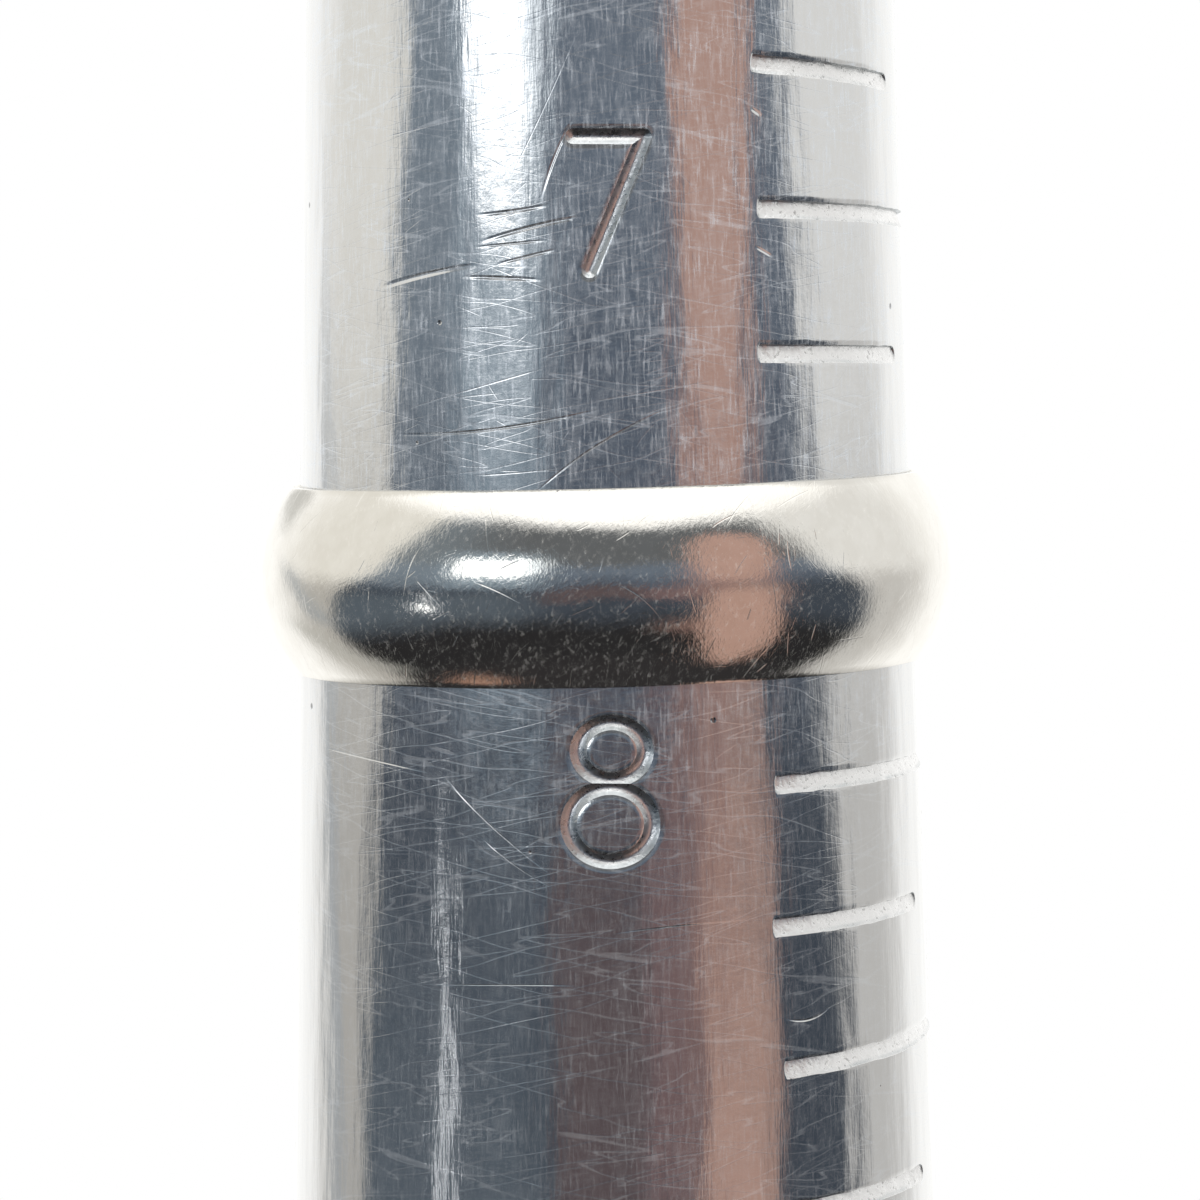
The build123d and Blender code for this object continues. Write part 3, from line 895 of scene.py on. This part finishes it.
def straight_mark(start, end, half_width=STROKE / 2, depth=MARK_DEPTH, step=0.16, shape=STAMPED):
    """A straight cutter with round ends."""
    bm = bmesh.new()
    start, end = Vector((*start, 0)), Vector((*end, 0))
    way = end - start
    side = Vector((way.y, -way.x, 0)).normalized()
    steps = max(2, round(way.length / step))
    line = section_line(bm, mark_section(half_width, depth, shape), start, side)
    line = slide(bm, line, way, steps)
    line = sweep(bm, line, 8, cent=end, angle=pi)
    line = slide(bm, line, -way, steps)
    sweep(bm, line, 8, cent=start, angle=pi)
    return closed(bm, depth)


def bowed_mark(centre, radius, start_deg, sweep_deg, half_width=STROKE / 2, depth=MARK_DEPTH):
    """A cutter along an arc, with round ends."""
    bm = bmesh.new()
    steps = max(6, round(abs(radians(sweep_deg)) * radius / 0.14))
    centre = Vector((*centre, 0))
    out = Vector((cos(radians(start_deg)), sin(radians(start_deg)), 0))
    start = centre + out * radius
    turned = Matrix.Rotation(radians(sweep_deg), 3, "Z") @ out
    end = centre + turned * radius
    sign = 1 if sweep_deg > 0 else -1
    line = section_line(bm, mark_section(half_width, depth, STAMPED), start, out)
    line = sweep(bm, line, steps, cent=centre, angle=radians(sweep_deg))
    line = sweep(bm, line, 8, cent=end, angle=pi * sign)
    line = sweep(bm, line, steps, cent=centre, angle=-radians(sweep_deg))
    sweep(bm, line, 8, cent=start, angle=pi * sign)
    return closed(bm, depth)


def loop_mark(centre, half_width, half_height, stroke=LOOP_STROKE / 2, depth=MARK_DEPTH):
    """A cutter round a closed oval."""
    bm = bmesh.new()
    section = mark_section(stroke, depth, STAMPED)
    both = [(-across, height) for across, height in reversed(section)][:-1] + section
    points = [bm.verts.new((half_height + across, 0, height)) for across, height in both[:-1]]
    edges = [bm.edges.new(pair) for pair in zip(points, points[1:] + points[:1])]
    bmesh.ops.spin(
        bm, geom=points + edges, cent=(0, 0, 0), axis=(0, 0, 1), angle=tau, steps=44, use_merge=True
    )
    stretch = (half_width + stroke) / (half_height + stroke)
    bmesh.ops.scale(bm, vec=(stretch, 1, 1), verts=bm.verts)
    bmesh.ops.translate(bm, vec=(*centre, 0), verts=bm.verts)
    return closed(bm, depth)


def closed(bm, depth):
    """Welds a cutter's seams, points its faces outward, and tells its polished lips from its cut walls."""
    bmesh.ops.remove_doubles(bm, verts=bm.verts, dist=2e-3)
    bmesh.ops.recalc_face_normals(bm, faces=bm.faces)
    for face in bm.faces:
        face.material_index = 0 if min(vert.co.z for vert in face.verts) > LIP_HEIGHT * depth else 1
    return bm


def digit_marks(digit):
    """The cutters of one numeral about its own centre."""
    top = (NUMERAL_HEIGHT - STROKE) / 2
    bowl = 1.02
    if digit == "0":
        return [loop_mark((0, 0), 0.98, top)]
    if digit == "1":
        return [straight_mark((0, -top), (0, top)), straight_mark((0, top), (-0.6, top - 0.55))]
    if digit == "2":
        foot = (-0.95, -top)
        tail = (0.95 * cos(radians(-35)), top - 0.95 + 0.95 * sin(radians(-35)))
        return [bowed_mark((0, top - 0.95), 0.95, 170, -205), straight_mark(tail, foot),
                straight_mark(foot, (0.95, -top))]
    if digit == "3":
        return [bowed_mark((-0.05, top - 0.84), 0.84, 150, -240),
                bowed_mark((-0.05, 0.97 - top), 0.97, 90, -240)]
    if digit == "4":
        return [straight_mark((0.45, -top), (0.45, top)), straight_mark((0.45, top), (-1.0, -0.6)),
                straight_mark((-1.0, -0.6), (1.0, -0.6))]
    if digit == "5":
        neck = (-0.05 + bowl * cos(radians(130)), bowl - top + bowl * sin(radians(130)))
        return [bowed_mark((-0.05, bowl - top), bowl, 130, -280), straight_mark(neck, (-0.68, top)),
                straight_mark((-0.68, top), (0.8, top))]
    if digit in "69":
        marks = [loop_mark((0, bowl - top), bowl, bowl), bowed_mark((1.75, -0.62), 2.77, 182, -65)]
        if digit == "9":
            for bm in marks:
                bmesh.ops.rotate(bm, cent=(0, 0, 0), matrix=Matrix.Rotation(pi, 3, "Z"), verts=bm.verts)
        return marks
    if digit == "7":
        corner = (1.02, top - 0.03)
        return [straight_mark((-0.90, top), corner), straight_mark(corner, (-0.50, -top))]
    return [loop_mark((0.06, top - 0.74), 0.91, 0.74), loop_mark((0, 0.96 - top), 1.11, 0.96)]


def wrap_on_taper(bm, across, z, lean_deg=0.0, turn_deg=0.0):
    """Bends a flat cutter round the taper, its middle at a height and a turn from the front."""
    run, rise = cos(radians(lean_deg)), sin(radians(lean_deg))
    radius = radius_at(z)
    for vert in bm.verts:
        x, y, height = vert.co
        x, y = x * run - y * rise, x * rise + y * run
        level = z + y
        angle = radians(turn_deg) + (across + x) / radius
        reach = radius_at(level) + height
        vert.co = (reach * sin(angle), -reach * cos(angle), level)


LINE_HALF_WIDTH, LINE_DEPTH = 0.25, 0.20
SQUARED = 0.3
LINE_START_DEG = 29.4
QUARTER_END_DEG, HALF_END_DEG, WHOLE_END_DEG = 69.0, 100.0, 115.0
# how the lines nearest the band were cut, in degrees: their lean, and where they start
LINE_LEAN = {6.75: -2.4, 7.0: -1.0, 7.25: -0.8, 8.0: 0.2, 8.25: 0.4, 8.5: 1.2, 8.75: 0.8}
LINE_START = {6.75: 29.0, 7.0: 29.6, 7.25: 29.0, 8.0: 30.3, 8.25: 29.2, 8.5: 30.8, 8.75: 31.5}


def line_mark(size):
    """One graduation line: steep on the side of the small sizes, sloping up to its other lip, torn below."""
    quarter = round((size - FIRST_SIZE) * 4)
    end = WHOLE_END_DEG if quarter % 4 == 0 else HALF_END_DEG if quarter % 4 == 2 else QUARTER_END_DEG
    start = LINE_START.get(size, LINE_START_DEG + random.uniform(-0.8, 1.4))
    lean = LINE_LEAN.get(size, random.uniform(-1.2, 1.2))
    end += random.uniform(-1.5, 1.5)
    z = height_of(size) + (0.0 if size in LINE_LEAN else random.uniform(-0.04, 0.04))
    length = radians(end - start) * radius_at(z)
    bm = straight_mark((0, 0), (length, 0), LINE_HALF_WIDTH, LINE_DEPTH, 0.2, CUT)
    for vert in bm.verts:
        x, y, height = vert.co
        if x < 0:
            vert.co.x = x * SQUARED
        if height < 0:
            deep = -height / LINE_DEPTH
            torn = noise.noise(Vector((x * 4.2, y * 3.0, size * 17.3)))
            fade = 1.0 - 0.55 * max(0.0, (x - length + 1.6) / 1.6) ** 2
            ramp = 0.58 + 0.42 * max(-1.0, min(1.0, y / LINE_HALF_WIDTH))
            vert.co.y += 0.02 * deep + 0.03 * noise.noise(Vector((x * 2.3, size * 9.1, 0)))
            vert.co.z = height * fade * ramp + deep * 0.03 * torn
    wrap_on_taper(bm, 0, z, lean, start)
    return bm


def mark_cutters():
    """Every numeral and line as one collection of cutters."""
    cutters = bpy.data.collections.new("cutters")
    meshes = []
    for size in range(FIRST_SIZE, LAST_SIZE + 1):
        text = str(size)
        aside, above, larger = STRUCK.get(size, (0.0, 0.0, 1.0))
        for place, digit in enumerate(text):
            across = (place - (len(text) - 1) / 2) * NUMERAL_SPACING
            for bm in digit_marks(digit):
                bmesh.ops.scale(bm, vec=(larger, larger, 1), verts=bm.verts)
                wrap_on_taper(bm, across + aside, height_of(size) + above)
                meshes.append(bm)
    for step in range((LAST_SIZE - FIRST_SIZE) * 4 + 1):
        meshes.append(line_mark(FIRST_SIZE + step / 4))
    return cutters, meshes


TIP_ROUND, HEEL_CHAMFER = 1.6, 0.5
TANG_RADIUS, TANG_LOW = 4.5, 1.6
THREAD_RADIUS, THREAD_ROOT, THREAD_PITCH = 4.0, 3.45, 1.25
THREAD_LOW, THREAD_TOP = 3.2, 20.6
SQUARE_TANG, SQUARE_TANG_LENGTH = 12.0, 36.0


def cut_shaft(steel, lip, cut):
    """The taper turned with its tang, and the marks cut into it."""
    thread = []
    z = THREAD_TOP
    while z > THREAD_LOW:
        thread += [(THREAD_RADIUS, z - 0.16), (THREAD_ROOT, z - THREAD_PITCH / 2), (THREAD_RADIUS, z - 1.09)]
        z -= THREAD_PITCH
    top = TIP_Z - TIP_ROUND
    profile = [(0.0, TIP_Z)] + turn_points((radius_at(top) - TIP_ROUND, top), TIP_ROUND, 90, 0, 8)
    rows = 24
    low = HEEL_Z + HEEL_CHAMFER
    for row in range(1, rows):
        z = top + (low - top) * row / rows
        profile.append((radius_at(z), z))
    profile += [
        (radius_at(low), low), (radius_at(HEEL_Z) - HEEL_CHAMFER, HEEL_Z), (TANG_RADIUS, HEEL_Z),
        (TANG_RADIUS, THREAD_TOP),
    ]
    profile += thread + [(3.4, TANG_LOW), (0.0, TANG_LOW)]
    bm = lathe(profile, 192)
    shaft = to_object(bm, "marked_shaft", [steel, lip, cut], 1.0)
    cutters, meshes = mark_cutters()
    for number, cutter in enumerate(meshes):
        mesh = bpy.data.meshes.new(f"cutter_{number}")
        cutter.to_mesh(mesh)
        cutter.free()
        mesh.materials.append(lip)
        mesh.materials.append(cut)
        cutters.objects.link(bpy.data.objects.new(mesh.name, mesh))
    bar = bmesh.new()
    bmesh.ops.create_cube(bar, size=SQUARE_TANG)
    bmesh.ops.scale(bar, vec=(1, 1, SQUARE_TANG_LENGTH / SQUARE_TANG), verts=bar.verts)
    bmesh.ops.translate(bar, vec=(0, 0, HEEL_Z + 0.1 - SQUARE_TANG_LENGTH / 2), verts=bar.verts)
    square = to_object(bar, "square_tang", [steel], 1.0)
    bpy.context.scene.collection.children.link(cutters)
    for name, operation, source in (("tang", "UNION", square), ("marks", "DIFFERENCE", cutters)):
        step = shaft.modifiers.new(name, "BOOLEAN")
        step.operation = operation
        step.solver = "MANIFOLD"
        step.material_mode = "TRANSFER"
        if source is square:
            step.object = source
        else:
            step.operand_type = "COLLECTION"
            step.collection = source
    graph = bpy.context.evaluated_depsgraph_get()
    result = bpy.data.meshes.new_from_object(shaft.evaluated_get(graph), depsgraph=graph)
    shaft.modifiers.clear()
    for cutter in list(cutters.objects):
        bpy.data.objects.remove(cutter)
    bpy.data.collections.remove(cutters)
    bpy.data.objects.remove(square)
    old = shaft.data
    shaft.data = result
    bpy.data.meshes.remove(old)
    result.name = "marked_shaft"
    result.transform(Matrix.Scale(MM, 4))
    shade_taper(result)
    return shaft


def shade_taper(mesh):
    """The taper's true normals on its polished faces, so that reflections run straight past the marks."""
    mesh.shade_smooth()
    mesh.set_sharp_from_angle(angle=radians(50))
    low, high = (HEEL_Z + HEEL_CHAMFER + 0.1) * MM, (TIP_Z - TIP_ROUND - 0.1) * MM
    names = [material.name for material in mesh.materials]
    base, cut = names.index("polished steel"), names.index("cut steel")
    on_taper = [
        face.material_index == base and low < face.center.z < high
        and face.normal.dot(Vector((face.center.x, face.center.y, 0)).normalized()) > 0.97
        for face in mesh.polygons
    ]
    touched = set()
    owners = [set() for _ in mesh.edges]
    for face in mesh.polygons:
        if on_taper[face.index]:
            touched.update(face.vertices)
        for loop in face.loop_indices:
            owners[mesh.loops[loop].edge_index].add(face.material_index == cut)
    for edge, kinds in zip(mesh.edges, owners):
        if len(kinds) > 1:
            edge.use_edge_sharp = True
    normals = [Vector(corner.vector) for corner in mesh.corner_normals]
    for face in mesh.polygons:
        if face.material_index == cut or not low < face.center.z < high:
            continue
        for loop in face.loop_indices:
            point = mesh.loops[loop].vertex_index
            if on_taper[face.index] or point in touched:
                x, y, _ = mesh.vertices[point].co
                normals[loop] = Vector((x, y, TAPER * sqrt(x * x + y * y))).normalized()
    mesh.normals_split_custom_set(normals)


# ---------------------------------------------------------------- the band

BAND_SIZE = 7.82
BAND_WIDTH, BAND_THICKNESS, BAND_DOME = 5.36, 1.05, 4.4
BAND_LEAN_DEG = 0.7
BAND_CLEARANCE = 0.04


def make_band(silver):
    """The half-round band: a domed outside, a plain bore and soft rims, leaning a little on the taper."""
    bore = radius_at(height_of(BAND_SIZE)) + BAND_CLEARANCE
    half = BAND_WIDTH / 2
    crown = bore + BAND_THICKNESS
    centre = crown - BAND_DOME
    reach = degrees(asin((half - 0.07) / BAND_DOME))
    dome = turn_points((centre, 0), BAND_DOME, reach, -reach, 40)
    rim_out = dome[0][0]
    upper = [(bore, half - 0.05), (bore + 0.02, half - 0.012), (bore + 0.06, half), (rim_out - 0.06, half),
             (rim_out - 0.02, half - 0.02)]
    lower = [(radius, -z) for radius, z in reversed(upper)]
    outline = upper + dome + lower
    bm = lathe(outline + [(bore, -half * 0.5), (bore, 0), (bore, half * 0.5), outline[0]], 288)
    for vert in bm.verts:
        angle = atan2(vert.co.x, -vert.co.y)
        outward = Vector((vert.co.x, vert.co.y, 0)).normalized()
        reach_out = (Vector((vert.co.x, vert.co.y, 0)).length - bore) / BAND_THICKNESS
        dent = noise.noise(Vector((cos(angle) * 3.1, sin(angle) * 3.1, vert.co.z * 0.35 + 4.0)))
        vert.co += outward * dent * 0.018 * max(0.0, min(1.0, reach_out))
        vert.co.z += 0.02 * noise.noise(Vector((cos(angle) * 2.4, sin(angle) * 2.4, 9.0)))
    low, high = (Vector(corner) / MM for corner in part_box("ring_band"))
    lean = Matrix.Rotation(radians(-BAND_LEAN_DEG), 3, "Y")
    bmesh.ops.rotate(bm, cent=(0, 0, 0), matrix=lean, verts=bm.verts)
    bmesh.ops.translate(bm, vec=(0, 0, (low.z + high.z) / 2), verts=bm.verts)
    band = to_object(bm, "half_round_band", [silver])
    smooth_by_angle(band.data, 40)
    return band


# ---------------------------------------------------------------- handle and ferrule


def make_handle(wood):
    """The turned handle: neck, bead, cove, palm swell, waist and a rounded butt with its recess."""
    neck, neck_low = 11.7, HEEL_Z - 17.0
    profile = [(0.0, HEEL_Z - 1.0), (neck - 0.02, HEEL_Z - 1.0), (neck - 0.02, neck_low), (13.0, neck_low)]
    profile += turn_points((11.3, neck_low - 3.2), 3.35, 62, -60, 10)
    swell = [
        (12.45, 6.6), (12.15, 9.0), (12.1, 12.0), (12.5, 17.5), (13.6, 25.0), (14.9, 32.5), (15.5, 38.5),
        (15.55, 42.5), (15.15, 50.0), (14.45, 57.0),
    ]
    profile += [(radius, neck_low - below) for radius, below in swell]
    profile += [
        (14.1, 24.0), (14.0, 20.5), (14.15, 16.5), (14.75, 12.0), (15.15, 8.5), (15.1, 6.0), (14.6, 3.4),
        (13.6, 1.5), (12.4, 0.4), (11.6, 0.0),
    ]
    profile += [(9.35, 0.0), (9.2, 0.15), (9.2, 10.0), (4.7, 10.0), (4.7, 60.0), (0.0, 60.0)]
    bm = lathe(profile, 128)
    handle = to_object(bm, "turned_handle", [wood])
    smooth_by_angle(handle.data, 38)
    return handle


def make_ferrule(plated):
    """The drawn ferrule: a plain cylinder with a rolled bead behind and a lip turned in under the heel."""
    low, high, outer = HEEL_Z - 17.0, HEEL_Z, 12.6
    profile = [(9.0, high - 1.0), (9.0, high - 0.1), (9.1, high)]
    profile += turn_points((outer - 0.4, high - 0.4), 0.4, 90, 0, 6)
    profile += [(outer, low + 1.75), (outer - 0.02, low + 1.55)]
    profile += turn_points((outer - 0.1, low + 0.7), 0.7, 62, -80, 12)
    profile += [(11.75, low), (11.7, low + 0.05), (11.7, high - 1.0), (9.0, high - 1.0)]
    bm = lathe(profile, 160)
    ferrule = to_object(bm, "drawn_ferrule", [plated])
    smooth_by_angle(ferrule.data, 40)
    return ferrule


def repaint(node, material):
    """A better finish on a CAD node whose shape stays."""
    frame["nodes"][node].material_slots[0].material = material


steel, lip, cut = polished_steel(), polished_steel("polished steel lip"), cut_steel()
settle(cut_shaft(steel, lip, cut), "mandrel", "steel", "tapered_shaft")
settle(make_band(worn_silver()), "ring", "silver", "ring_band")
settle(make_handle(oiled_hardwood()), "mandrel", "hardwood", "handle")
plated = plain_metal("nickel plate", (0.74, 0.73, 0.70), 0.16, (0.66, 0.65, 0.61), (0.4, 0.4, 14))
settle(make_ferrule(plated), "mandrel", "plated_metal", "ferrule")
for node, name, colour, rough, wear_colour, lines in (
    ("ferrule_pin", "filed brass", (0.72, 0.55, 0.27), 0.28, (0.55, 0.40, 0.19), (12, 3, 3)),
    ("butt_washer", "zinc plated washer", (0.60, 0.61, 0.62), 0.30, (0.50, 0.50, 0.49), (6, 6, 2)),
    ("tang_nut", "zinc plated nut", (0.58, 0.585, 0.60), 0.32, (0.48, 0.48, 0.47), (3, 3, 9)),
):
    repaint(node, plain_metal(name, colour, rough, wear_colour, lines))

scene = bpy.context.scene
scene.view_settings.view_transform = "Standard"
scene.view_settings.look = "None"
